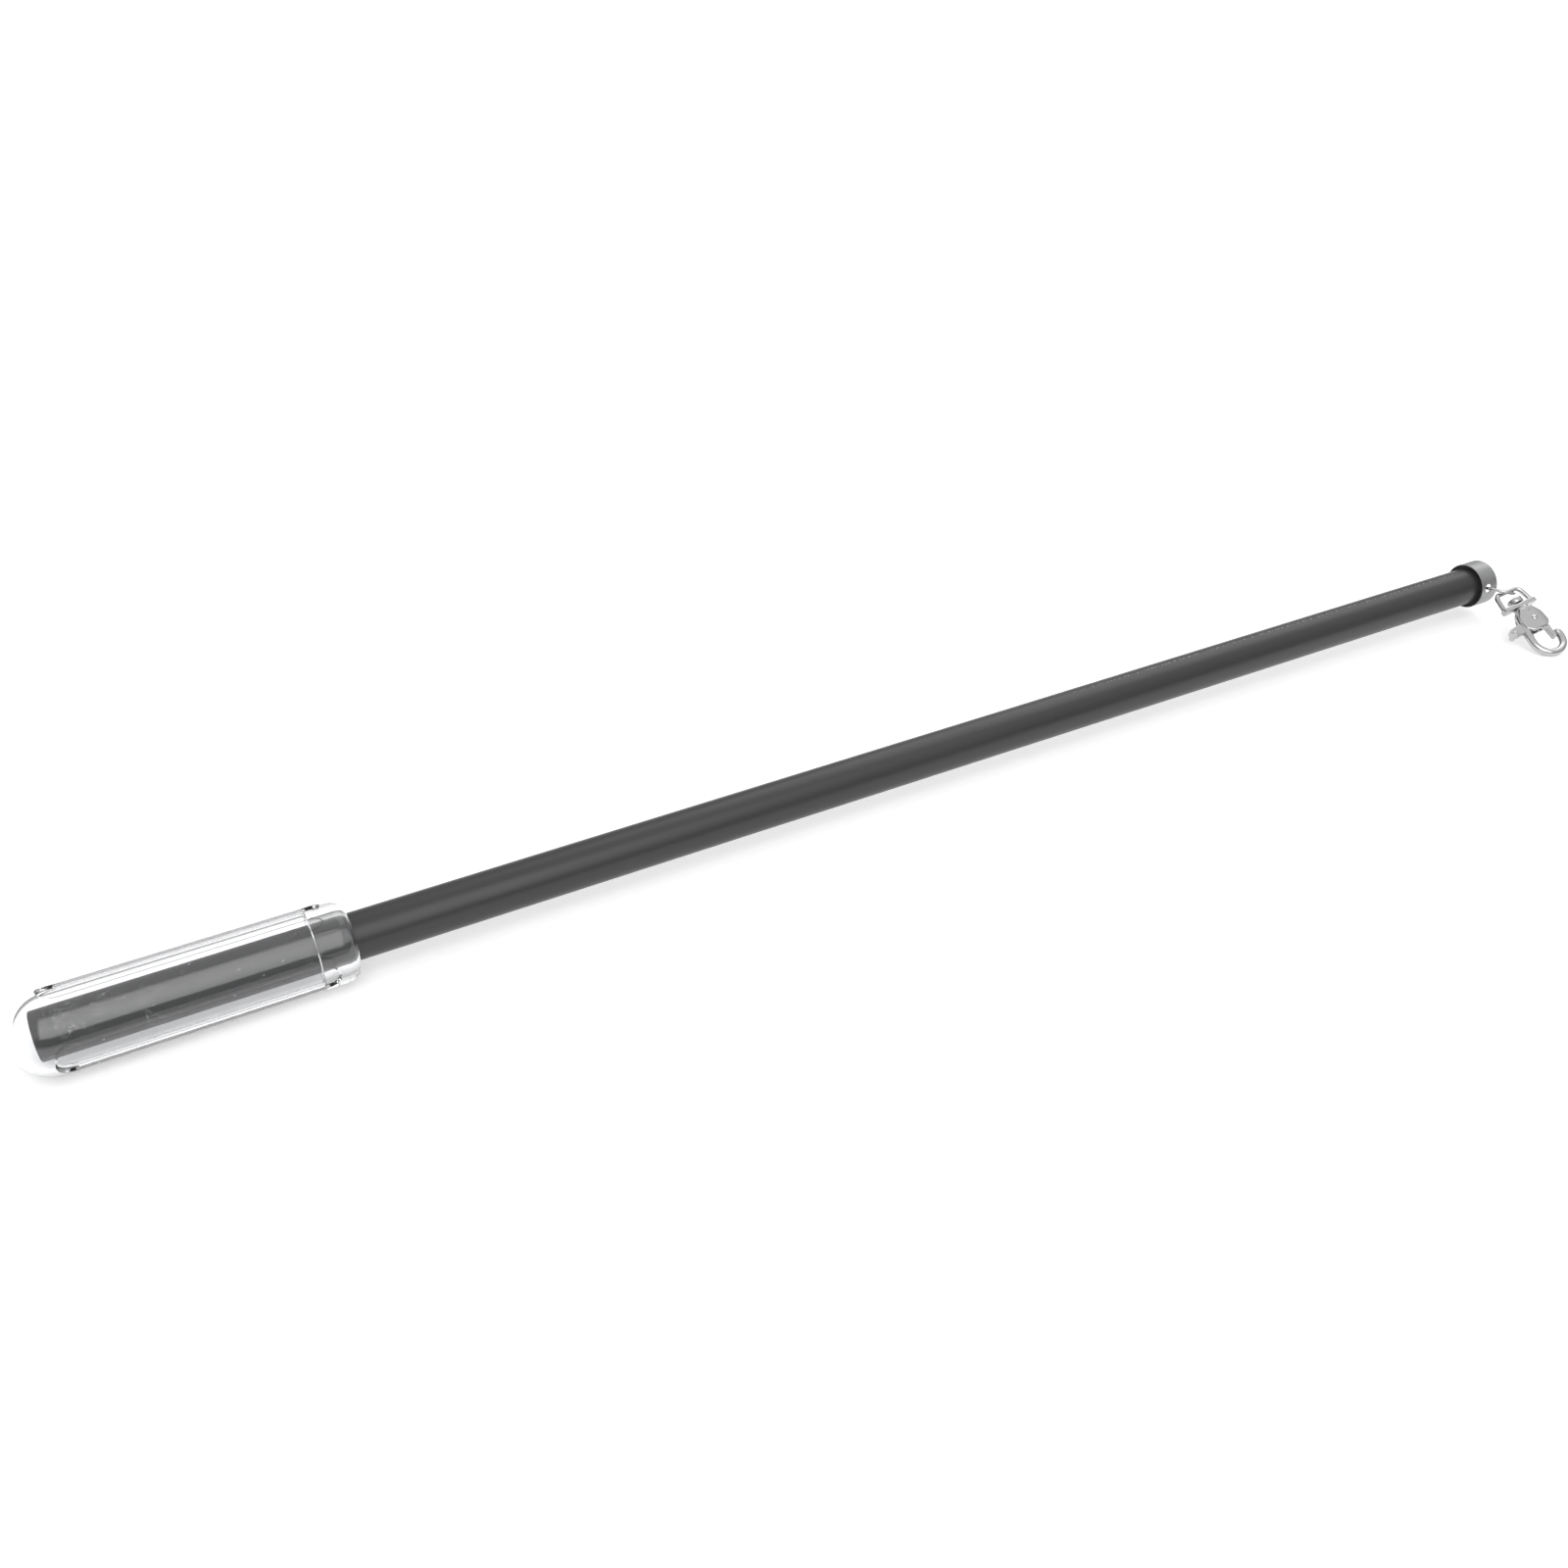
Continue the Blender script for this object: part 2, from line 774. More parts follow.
@dataclass(frozen=True)
class BlackRubber:
    """Matte black packing with a fine dusty grain."""

    name: str
    colour: tuple[float, float, float]
    roughness: float

    def make(self, groups: Groups) -> bpy.types.Material:
        """Builds the material.

        Args:
            groups: The shared node groups.

        Returns:
            The material.
        """
        material, n, shader = start_material(self.name)
        dust = use_group(n, groups.specks, Scale=2400.0, Size=0.25, Share=0.15)
        base = n.mix(n.math("MULTIPLY", dust.outputs[0], 0.25), opaque(self.colour),
                     (0.12, 0.12, 0.12, 1.0))
        n.link(base, shader.inputs["Base Color"])
        clouds = use_group(n, groups.mottle, Scale=500.0, Amount=0.12)
        n.link(n.math("MULTIPLY", clouds.outputs[0], self.roughness), shader.inputs["Roughness"])
        bump(n, shader, clouds.outputs[0], 1e-5)
        return material


# ---------------------------------------------------------------- pieces


def finish_piece(piece: bpy.types.Object, material: bpy.types.Material, body: Body, slot: str,
                 *nodes: str) -> None:
    """Dresses a piece and gives it its body, its slot and the nodes that it stands for.

    Args:
        piece: The piece.
        material: Its material.
        body: The body that it rides on.
        slot: The record's material slot.
        nodes: The CAD nodes that it replaces.
    """
    piece.data.materials.clear()
    piece.data.materials.append(material)
    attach(piece, body.value)
    if nodes:
        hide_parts(*nodes)
    LOG.info("%s: %d faces on %s", piece.name, len(piece.data.polygons), body.value)


def dress_node(name: str, material: bpy.types.Material) -> None:
    """Gives a kept CAD node a material of its own."""
    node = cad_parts[name]
    node.data.materials.clear()
    node.data.materials.append(material)
    LOG.info("%s: kept, %s", name, material.name)


@dataclass
class Wand:
    """The tube and the fluted clear grip pressed on it."""

    tube_r: float = 6.0
    tube_wall: float = 0.8
    tube_from: float = -453.5
    tube_to: float = -0.7
    rim_round: float = 0.12
    tip_x: float = -460.1
    mouth_x: float = -382.5
    grip_r: float = 10.2
    bore_r: float = 6.06
    lip_r: float = 6.56
    cavity_r: float = 8.3
    collar_len: float = 9.0
    flutes: int = 3
    flute_w: float = 8.7
    flute_deep: float = 0.9
    flute_inset: float = 5.4
    flute_in_dome: float = 1.0
    flute_angle: float = -12.0
    flute_wall: float = 0.34
    hollow_round: float = 0.35
    edge_round: float = 0.05
    fine_step: float = 0.13
    margin: float = 0.8

    def tube(self) -> bpy.types.Object:
        """Turns the tube: outer wall, rounded rims and inner wall in one closed profile."""
        r, w, e = self.tube_r, self.tube_wall, self.rim_round
        a, b = self.tube_from, self.tube_to
        profile = np.concatenate([
            run((a + e, r), (b - e, r), 40),
            arc((b - e, r - e), e, 90, 0, 4),
            arc((b - e, r - w + e), e, 0, -90, 4),
            run((b - e, r - w), (a + e, r - w), 12),
            arc((a + e, r - w + e), e, 270, 180, 4),
            arc((a + e, r - e), e, 180, 90, 4)[:-1],
        ])
        return Shell().patch(lathe(profile, 128), close=True).build("tube_shell", 60.0)

    def stations(self) -> np.ndarray:
        """Gives the grip's outer profile: dome, side, shoulder and lip.

        Its stations are fine_step apart where the flutes' ends lie, and sparser elsewhere.

        Returns:
            Rows of station and radius, from the dome's pole to the bore's rim.
        """
        r, round_r = self.grip_r, self.grip_r - self.lip_r
        start = self.tip_x + r
        near = start - self.flute_in_dome
        end_run = self.flute_w / 2 + 1.2
        stop = self.mouth_x - round_r
        last = self.mouth_x - self.flute_inset
        reach = math.degrees(math.acos((near - self.margin - self.tip_x - r) / -r))
        dome = arc((start, 0.0), r, 180.0, 180.0 - reach, 22)[:-1]
        dome[0, 1] = 0.0
        xs = np.concatenate([
            np.arange(near - self.margin, near + end_run, self.fine_step),
            np.linspace(near + end_run, last - end_run, 26)[:-1],
            np.arange(last - end_run, min(last + self.margin, stop), self.fine_step)])
        base = np.where(xs < start, np.sqrt(np.maximum(r * r - (xs - start) ** 2, 0.0)), r)
        body = np.stack([xs, base], axis=1)
        if stop > xs[-1] + 0.05:
            body = np.concatenate([body, [[stop, r]]])
        shoulder = arc((stop, self.lip_r), round_r, 90, 0, 14)[1:]
        lip = run((self.mouth_x, self.lip_r - self.edge_round),
                  (self.mouth_x, self.bore_r + self.edge_round), 3)
        return np.concatenate([dome, body, shoulder, lip])

    def angles(self) -> np.ndarray:
        """Gives the columns' angles in degrees, closer together at the flutes' walls."""
        half = math.degrees(math.asin(self.flute_w / 2 / self.grip_r))
        fine, within, beyond = 0.4, 4.4, 0.8
        cuts = []
        for i in range(self.flutes):
            middle = self.flute_angle + i * 360.0 / self.flutes
            cuts.append(np.concatenate([
                np.arange(-half - beyond, -half + within, fine),
                np.linspace(-half + within, half - within, 30)[1:-1],
                np.arange(half - within, half + beyond, fine),
                np.linspace(half + 0.9, 360.0 / self.flutes - half - 0.9, 46)[:-1]]) + middle)
        return np.concatenate(cuts)

    def grip(self) -> bpy.types.Object:
        """Makes the clear grip as one closed surface of station s and angle a.

        Outside, the radius is r(s) of the turned profile. Inside a flute it eases over the
        wall's width to the floor's radius, round the same axis, by a smooth step of the
        distance to the flute's stadium-shaped edge. Inside, the surface runs back along the
        collar that grips the tube and the wider hollow, and ends in the hollow's own dome.

        Returns:
            The grip.
        """
        outer = self.stations()
        angles = np.radians(self.angles())
        x = np.repeat(outer[:, :1], len(angles), axis=1)
        r = np.repeat(outer[:, 1:2], len(angles), axis=1)
        half = self.flute_w / 2
        low = self.tip_x + self.grip_r - self.flute_in_dome + half
        high = self.mouth_x - self.flute_inset - half
        floor = self.grip_r - self.flute_deep
        for i in range(self.flutes):
            off = angles - math.radians(self.flute_angle + i * 360.0 / self.flutes)
            off = (off + np.pi) % (2.0 * np.pi) - np.pi
            side = self.grip_r * np.sin(off)[None, :]
            along = np.maximum(np.maximum(low - x, x - high), 0.0)
            inward = half - np.hypot(along, side)
            inward = np.where(np.cos(off)[None, :] > 0.6, inward, -1.0)
            blend = smooth_step(inward / self.flute_wall)
            r = np.where(blend > 0.0, r + (np.minimum(floor, r) - r) * blend, r)
        skin = np.stack([x, -r * np.cos(angles), r * np.sin(angles)], axis=-1)
        collar, hollow, e = self.mouth_x - self.collar_len, self.cavity_r, self.hollow_round
        middle, mouth, b, c = self.tip_x + self.grip_r, self.mouth_x, self.bore_r, self.edge_round
        bore = np.concatenate([
            [[mouth, b + c], [mouth - c, b]],
            run((mouth - 0.4, b), (collar + 0.1, b), 4),
            [[collar, b + 0.1]],
            arc((collar - e, hollow - e), e, 0, 90, 5),
            run((collar - 1.2, hollow), (middle, hollow), 8),
            arc((middle, 0.0), hollow, 90, 180, 24)])
        bore[-1, 1] = 0.0
        bx, br = bore[:, :1], bore[:, 1:2]
        inner = np.stack([np.repeat(bx, len(angles), axis=1), -br * np.cos(angles),
                          br * np.sin(angles)], axis=-1)
        return Shell().patch(np.concatenate([skin, inner])).build("clear_grip", 50.0)

    def build(self, paint: bpy.types.Material, clear: bpy.types.Material) -> None:
        """Builds and dresses the tube and the grip.

        Args:
            paint: The tube's finish.
            clear: The grip's finish.
        """
        finish_piece(self.tube(), paint, Body.WAND, "tube", "tube")
        finish_piece(self.grip(), clear, Body.WAND, "grip", "grip")


@dataclass
class Ferrule:
    """What is added to the drawn ferrule and its black packing: a rim and the hole's border."""

    rim_x: float = -2.7
    outer_r: float = 7.4
    wall: float = 0.4
    hole_r: float = 1.5
    hole_angle: float = 13.0
    border: float = 0.16
    border_spread: float = 0.6
    border_sunk: float = 0.62

    def rim(self) -> bpy.types.Object:
        """Rolls a fine bead round the ferrule's rim: a ring of small round section."""
        mid = self.outer_r - self.wall / 2
        section = arc((self.rim_x + 0.1, mid), self.wall / 2, 0, 360, 17)[:-1]
        return Shell().patch(lathe(section, 128), close=True).build("ferrule_rim", 60.0)

    def hole_border(self) -> bpy.types.Object:
        """Raises the pressed border of the side hole.

        The border is a small round section carried round the hole's circle of radius R,
        wrapped on the ferrule: at (u, v) on the circle the surface is at angle v / r.

        Returns:
            The border.
        """
        steps = 64
        a = full_turn(steps)
        radius = self.hole_r + self.border * self.border_spread
        u, v = radius * np.cos(a), radius * np.sin(a)
        turn = math.radians(self.hole_angle) + v / self.outer_r
        r = self.outer_r - self.border * self.border_sunk
        path = np.stack([u, -r * np.cos(turn), r * np.sin(turn)], axis=1)
        grid = wire(path, np.full(steps, self.border), polar(self.hole_angle), 12, closed=True)
        return Shell().patch(grid, close=True).build("hole_border", 60.0)

    def build(self, satin: bpy.types.Material, packing: bpy.types.Material) -> None:
        """Dresses the kept ferrule and packing, and adds the rim and the hole's border.

        Args:
            satin: The ferrule's finish.
            packing: The packing's finish.
        """
        dress_node("end_cap", satin)
        dress_node("cap_sleeve", packing)
        finish_piece(self.rim(), satin, Body.WAND, "end_cap")
        finish_piece(self.hole_border(), satin, Body.WAND, "end_cap")


@dataclass
class ClaspFrame:
    """Where the ring and the clasp lie, from the same values as the solids."""

    cap_mid_r: float = 7.2
    hole_angle: float = 13.0
    hole_r: float = 1.5
    cap_end_x: float = 4.7
    ring_turn: float = -20.0
    ring_reach: float = 2.15
    ring_swing: float = 85.0
    bar_offset: float = 2.6
    bar_angle: float = 95.0
    tilt: float = 24.5
    roll: float = 10.0

    def __post_init__(self) -> None:
        """Works out the ring's plane and centre, and the clasp's place."""
        out = polar(self.hole_angle)
        around = polar(self.hole_angle + 90.0)
        turn = math.radians(self.ring_turn)
        along = math.cos(turn) * np.array([1.0, 0.0, 0.0]) + math.sin(turn) * around
        strip = (self.hole_r + self.cap_end_x) / 2 / math.cos(turn)

        def within(length: float, angle: float) -> np.ndarray:
            """Gives a vector in the ring's plane, at an angle from along towards out."""
            a = math.radians(angle)
            return length * (math.cos(a) * along + math.sin(a) * out)

        self.along, self.out = along, out
        self.ring_centre = (self.cap_mid_r * out + strip * along
                            + within(self.ring_reach, self.ring_swing))
        self.bar_point = self.ring_centre + within(self.bar_offset, self.bar_angle)
        self.turn = turn_x(self.tilt) @ turn_y(-self.roll)

    def place(self, points: np.ndarray) -> np.ndarray:
        """Moves points drawn about the eye's top bar, -Y down the clasp, to their place."""
        return points @ self.turn.T + self.bar_point

    def on_ring(self, points: np.ndarray) -> np.ndarray:
        """Moves points drawn about the ring's centre, in its plane, to their place."""
        normal = np.cross(self.along, self.out)
        return points @ np.stack([self.along, self.out, normal]) + self.ring_centre


@dataclass
class SwivelEye:
    """The link ring, the bent wire eye and the post that the clasp turns on."""

    place: ClaspFrame
    ring_r: float = 4.5
    ring_wire: float = 0.5
    joint_angle: float = 35.0
    joint_depth: float = 0.22
    joint_width: float = 1.2
    eye_wire: float = 0.8
    eye_w: float = 13.0
    eye_bend: float = 2.2
    splay: float = 9.0
    foot_top: float = 5.6
    foot_thick: float = 1.6
    foot_deep: float = 3.0
    bore_r: float = 0.96
    post_r: float = 0.9
    head_end: float = 5.45
    head_r: float = 2.5
    head_thick: float = 2.1
    shank_end: float = 9.15

    def ring(self) -> bpy.types.Object:
        """Bends the ring: a round wire on a circle, thinned in a hairline at its joint."""
        steps = 180
        a = full_turn(steps)
        path = self.ring_r * np.stack([np.cos(a), np.sin(a), 0.0 * a], axis=1)
        off = (a - math.radians(self.joint_angle) + np.pi) % (2 * np.pi) - np.pi
        dip = self.joint_depth * np.exp(-(np.degrees(off) / self.joint_width) ** 2)
        grid = wire(path, self.ring_wire * (1.0 - dip), UP, 32, closed=True)
        shell = Shell().patch(grid, close=True).moved(self.place.on_ring)
        return shell.build("link_ring_wire", 80.0)

    def eye_path(self) -> np.ndarray:
        """Gives the wire's middle line from foot to foot.

        Straight splayed legs, a bend of radius eye_bend at each shoulder, and a straight
        top bar on the X axis.

        Returns:
            The points, n by 3.
        """
        s = math.radians(self.splay)
        foot_x = self.eye_w / 2 - self.eye_wire
        leg_x, leg_y = self.eye_bend * math.cos(s), self.eye_bend * (1.0 - math.sin(s))
        leg = (self.foot_top + self.foot_thick / 2 - leg_y) / math.cos(s)
        top = foot_x - leg_x - leg * math.sin(s)
        end = (top + leg_x + leg * math.sin(s), -leg_y - leg * math.cos(s))
        right = np.concatenate([
            run(end, (top + leg_x, -leg_y), 14),
            arc((top, -self.eye_bend), self.eye_bend, self.splay, 90.0, 18)])
        bar = run((top, 0.0), (-top, 0.0), 10)[1:]
        left = right[::-1] * np.array([-1.0, 1.0])
        flat = np.concatenate([right, bar, left])
        return np.column_stack([flat, np.zeros(len(flat))])

    def eye(self) -> bpy.types.Object:
        """Makes the eye: the bent wire, and a foot bar with rounded ends and a bored middle."""
        shell = Shell()
        path = self.eye_path()
        radius = np.full(len(path), self.eye_wire)
        radius[[0, -1]] = 0.0
        path[0], path[-1] = path[1], path[-2]
        shell.patch(wire(self._ends(path), radius, UP, 28))
        self.foot(shell)
        return shell.moved(self.place.place).build("swivel_eye_wire", 40.0)

    @staticmethod
    def _ends(path: np.ndarray) -> np.ndarray:
        """Sets a path's repeated end points a hair apart, so that its tangent is defined."""
        out = path.copy()
        out[0] += (path[1] - path[2]) * 1e-3
        out[-1] += (path[-2] - path[-3]) * 1e-3
        return out

    def foot(self, shell: Shell) -> None:
        """Adds the foot bar as a grid of angle and depth.

        Seen down the clasp the bar's outline is |x / w|^p + |z / d|^p = 1, a rectangle with
        rounded corners, sampled by angle. Rows go up the bore, out over the top face, down
        the rounded side and back under.

        Args:
            shell: The shell that the bar is added to.
        """
        a = full_turn(120)
        half_x, half_z, power = self.eye_w / 2 + 0.04, self.foot_deep / 2, 10.0
        edge = (np.abs(np.cos(a) / half_x) ** power
                + np.abs(np.sin(a) / half_z) ** power) ** (-1 / power)
        outline = np.stack([edge * np.cos(a), edge * np.sin(a)], axis=1)
        bore = self.bore_r * np.stack([np.cos(a), np.sin(a)], axis=1)

        def inset(depth: float) -> np.ndarray:
            """Gives the outline drawn in by a depth towards its middle."""
            return outline * (1.0 - depth / edge)[:, None]

        top, low, e = -self.foot_top, -self.foot_top - self.foot_thick, 0.22
        rows = [(bore, low + 0.05), (bore, top - 0.05), (bore * 1.05, top), (inset(e + 0.1), top)]
        for t in np.radians(np.linspace(80, 0, 5)):
            rows.append((inset(e * (1 - math.cos(t))), top - e * (1 - math.sin(t))))
        for t in np.radians(np.linspace(0, 80, 5)):
            rows.append((inset(e * (1 - math.cos(t))), low + e * (1 - math.sin(t))))
        rows += [(inset(e + 0.1), low), (bore * 1.05, low)]
        grid = np.stack([np.stack([p[:, 0], np.full(len(p), y), p[:, 1]], axis=1) for p, y in rows])
        shell.patch(grid, close=True)

    def post(self) -> bpy.types.Object:
        """Turns the post: a domed, chamfered head over a plain shank."""
        h, t, r = self.head_end, self.head_thick, self.head_r
        profile = np.concatenate([
            [[h - t, 0.0], [h - t + 0.02, r * 0.45], [h - t + 0.16, r * 0.72]],
            arc((h - t + 0.75, r - 0.6), 0.6, 180 - 35, 90, 6),
            arc((h - 0.15, r - 0.15), 0.15, 90, 0, 4),
            [[h, self.post_r + 0.12], [h + 0.12, self.post_r], [self.shank_end, self.post_r],
             [self.shank_end, 0.0]]])
        grid = lathe(profile, 64)
        return Shell().patch(hung(grid)).moved(self.place.place).build("swivel_post_turned", 35.0)

    def build(self, nickel: bpy.types.Material) -> None:
        """Builds and dresses the ring, the eye and the post.

        Args:
            nickel: The plated finish.
        """
        finish_piece(self.ring(), nickel, Body.RING, "link_ring", "link_ring")
        finish_piece(self.eye(), nickel, Body.EYE, "clasp", "swivel_eye")
        finish_piece(self.post(), nickel, Body.HOOK, "clasp", "swivel_post")


@dataclass
class Clasp:
    """The cast clasp: barrel, cheeks, claw, trigger, rivet and spring."""

    place: ClaspFrame
    barrel_top: float = 7.35
    barrel_r: float = 2.5
    barrel_len: float = 2.8
    pivot_y: float = 12.95
    claw_y: float = 20.85
    claw_r: float = 5.2
    claw_wire: float = 1.25
    nose_rise: float = 10.0
    body_half: float = 4.6
    cheek_end: float = 16.85
    cheek_half: float = 2.4
    crown_r: float = 15.0
    corner: float = 1.6
    slot_half: float = 1.15
    slot_top: float = 9.8
    arm_r: float = 1.75
    pin_r: float = 0.6
    pin_head_r: float = 1.0
    pin_head: float = 0.35
    trigger_half: float = 0.95
    gate_outer: float = 3.7
    gate_w: float = 1.5
    claw_drop: float = 7.9
    lever_len: float = 10.2
    lip_r: float = 0.9
    lip_deep: float = 3.8
    coil_r: float = 0.96
    coil_wire: float = 0.15
    pocket_floor: float = -0.05

    def barrel(self, shell: Shell) -> None:
        """Adds the barrel: a turned collar with a rolled edge and a shallow neck under it."""
        t, r = self.barrel_top, self.barrel_r
        profile = np.concatenate([
            [[t, 0.9], [t, r - 0.35]],
            arc((t + 0.35, r - 0.35), 0.35, 180, 90, 6)[1:],
            [[t + 0.75, r]],
            arc((t + 1.0, r + 0.1), 0.22, 205, 335, 6),
            [[t + 1.4, r], [t + self.barrel_len - 0.4, r], [t + self.barrel_len, r - 0.35],
             [t + self.barrel_len, 0.9]]])
        grid = lathe(profile, 64)
        shell.patch(hung(grid), close=True)

    def outline(self) -> np.ndarray:
        """Gives the cheeks' shield outline with its corners rounded."""
        p, b, c = self.pivot_y, self.barrel_r - 0.2, self.corner
        top, end, half = self.barrel_top + 0.8, self.cheek_end, self.body_half
        return rounded([(-b, -top, 0.5), (-half, -p + c, 2.2), (-half, -end + c, 1.0),
                        (-half + c, -end, 1.0), (half - c, -end, 1.0), (half, -end + c, 1.0),
                        (half, -p + c, 2.2), (b, -top, 0.5)], 9)

    def cheek(self, shell: Shell, side: float) -> None:
        """Adds one cheek, a pillow between the slot's wall and the crowned outer face.

        Rows are the shield's outline drawn in towards its middle by a factor s. The outer
        face's height is that of a crown of radius R, sqrt(R^2 - x^2) - R + half, less a
        rounded edge, and the inner face is flat.

        Args:
            shell: The shell that the cheek is added to.
            side: 1 for the upper cheek, -1 for the lower.
        """
        outline = self._even(self.outline(), 96)
        middle = np.array([0.0, -(self.barrel_top + self.cheek_end) / 2 - 1.0])
        e = 0.35
        rows = []
        for s in np.linspace(0.0, 1.0, 6)[:-1]:
            rows.append(np.column_stack([middle + (outline - middle) * s,
                                         np.full(len(outline), self.slot_half)]))
        rows.append(np.column_stack([outline, np.full(len(outline), self.slot_half)]))
        reach = np.linalg.norm(outline - middle, axis=1)
        for t in np.linspace(0.0, 90.0, 7):
            a = math.radians(t)
            ring = middle + (outline - middle) * (1.0 - e * (1 - math.cos(a)) / reach)[:, None]
            high = self._crown(ring[:, 0]) - e * (1.0 - math.sin(a))
            rows.append(np.column_stack([ring, high]))
        for s in np.linspace(0.88, 0.0, 12):
            ring = middle + (outline - middle) * s
            rows.append(np.column_stack([ring, self._crown(ring[:, 0])]))
        grid = np.stack(rows)
        grid[..., 2] *= side
        shell.patch(grid)

    def _crown(self, x: np.ndarray) -> np.ndarray:
        """Gives the crowned face's height at x."""
        return np.sqrt(self.crown_r ** 2 - x ** 2) - self.crown_r + self.cheek_half

    @staticmethod
    def _even(outline: np.ndarray, count: int) -> np.ndarray:
        """Resamples a closed outline at even steps of its length."""
        ring = np.concatenate([outline, outline[:1]])
        length = np.concatenate([[0.0], np.cumsum(np.linalg.norm(np.diff(ring, axis=0), axis=1))])
        at = np.linspace(0.0, length[-1], count, endpoint=False)
        return np.stack([np.interp(at, length, ring[:, k]) for k in (0, 1)], axis=1)

    def claw(self, shell: Shell) -> None:
        """Adds the arm and claw: a round section of changing radius on one smooth path.

        The path is a cubic from the cheeks' left edge, as a spine, out to the claw's side.
        It goes round the claw's circle to the nose, where the radius falls to nothing as a
        quarter circle.

        Args:
            shell: The shell that the claw is added to.
        """
        start = np.array([-2.2, -self.barrel_top - 2.2])
        side = np.array([-self.claw_r, -self.claw_y])
        t = np.linspace(0.0, 1.0, 40, endpoint=False)[:, None]
        h00, h10 = 2 * t**3 - 3 * t**2 + 1, t**3 - 2 * t**2 + t
        h01, h11 = -2 * t**3 + 3 * t**2, t**3 - t**2
        leave, arrive = np.array([-4.0, -10.0]), np.array([0.0, -9.0])
        arm = h00 * start + h10 * leave + h01 * side + h11 * arrive
        ring = arc((0.0, -self.claw_y), self.claw_r, 180.0, 360.0 + self.nose_rise, 90)
        nose = np.radians(np.linspace(0.0, 90.0, 10))[1:]
        tip_a = math.radians(self.nose_rise)
        onward = np.array([-math.sin(tip_a), math.cos(tip_a)])
        tip = ring[-1] + np.sin(nose)[:, None] * self.claw_wire * onward
        flat = np.concatenate([arm, ring, tip])
        thinning = smooth_step(np.linspace(0.0, 1.0, len(arm)))
        radius = np.concatenate([
            self.arm_r + (self.claw_wire - self.arm_r) * thinning,
            np.full(len(ring), self.claw_wire), self.claw_wire * np.cos(nose)])
        radius[0] = 0.0
        path = np.column_stack([flat, np.zeros(len(flat))])
        path[0] = path[1] + (path[0] - path[1]) * 0.02
        shell.patch(wire(path, radius, UP, 32))

    def body(self) -> bpy.types.Object:
        """Makes the body of barrel, cheeks, the bridge above the slot, and the claw."""
        shell = Shell()
        self.barrel(shell)
        self.cheek(shell, 1.0)
        self.cheek(shell, -1.0)
        bridge = rounded([(-2.2, -self.barrel_top - 1.0, 0.3), (-3.2, -self.slot_top, 0.2),
                          (3.2, -self.slot_top, 0.2), (2.2, -self.barrel_top - 1.0, 0.3)], 5)
        shell.plate(bridge, -self.slot_half - 0.2, self.slot_half + 0.2)
        self.claw(shell)
        return shell.moved(self.place.place).build("clasp_body_cast", 40.0)

    def trigger_outline(self) -> np.ndarray:
        """Gives the trigger's outline about its pivot: hub, gate bar and thumb lever."""
        g, w, n = self.gate_outer, self.gate_w, self.lever_len
        tip = self.claw_drop + 0.9
        return rounded([
            (0.2, 1.85, 1.2), (1.9, 0.6, 1.0), (g + 0.25, -2.6, 1.2), (g, -5.4, 2.0),
            (g, -self.claw_drop, 1.0), (g - w + 0.4, -tip, 0.35), (g - w, -tip + 0.7, 0.35),
            (g - w, -4.4, 1.2), (g - w - 0.9, -3.0, 1.0), (0.3, -2.0, 1.0), (-4.6, -3.1, 2.0),
            (-n + 1.2, -3.2, 0.6), (-n + 0.2, -2.5, 0.5), (-n, -0.9, 0.5), (-n + 1.1, -0.1, 0.6),
            (-1.6, 1.1, 1.2)], 7)

    def trigger(self) -> bpy.types.Object:
        """Makes the trigger: a thin bevelled plate with a turned lip on its thumb lever."""
        shell = Shell().plate(self.trigger_outline(), -self.trigger_half, self.trigger_half)
        a = full_turn(40)
        r, h, e = self.lip_r, self.lip_deep / 2, 0.25
        turn = np.radians(np.linspace(0.0, 90.0, 6))
        rows = [(0.0, -h)] + [(r - e + e * math.sin(t), -h + e * (1 - math.cos(t))) for t in turn]
        rows += [(r - e + e * math.cos(t), h - e * (1 - math.sin(t))) for t in turn] + [(0.0, h)]
        x0, y0 = -self.lever_len + self.lip_r, -2.3
        shell.patch(np.stack([np.stack([x0 + q * np.cos(a), y0 + q * np.sin(a),
                                        np.full(len(a), z)], axis=1) for q, z in rows]))
        shell.moved(lambda p: self.place.place(p - np.array([0.0, self.pivot_y, 0.0])))
        return shell.build("trigger_lever", 35.0, bevel=0.22)

    def pin(self) -> bpy.types.Object:
        """Turns the rivet: a shank between two low domed heads."""
        s, h, r, p = self.cheek_half + 0.02, self.pin_head, self.pin_head_r, self.pin_r
        dome = np.radians(np.linspace(90.0, 0.0, 7))
        head = [(s + h * math.sin(t), r * math.cos(t)) for t in dome]
        half = np.array(head + [(s, p)])
        profile = np.concatenate([half, (half * np.array([-1.0, 1.0]))[::-1]])
        grid = lathe(profile, 40)
        up = np.stack([grid[..., 1], grid[..., 2] - self.pivot_y, grid[..., 0]], axis=-1)
        return Shell().patch(up).moved(self.place.place).build("rivet", 40.0)

    def spring(self) -> bpy.types.Object:
        """Winds the spring: a fine wire on a helix in the trigger's pocket."""
        turns, steps = 2.0, 90
        a = np.linspace(0.0, 2.0 * np.pi * turns, steps)
        z = self.pocket_floor + 2 * self.coil_wire * (0.6 + 1.05 * a / (2.0 * np.pi))
        r = self.coil_r
        path = np.stack([r * np.cos(a), r * np.sin(a) - self.pivot_y, z], axis=1)
        radius = np.full(steps, self.coil_wire)
        radius[[0, -1]] = 0.0
        grid = wire(path, radius, UP, 12)
        return Shell().patch(grid).moved(self.place.place).build("trigger_spring_coil", 60.0)

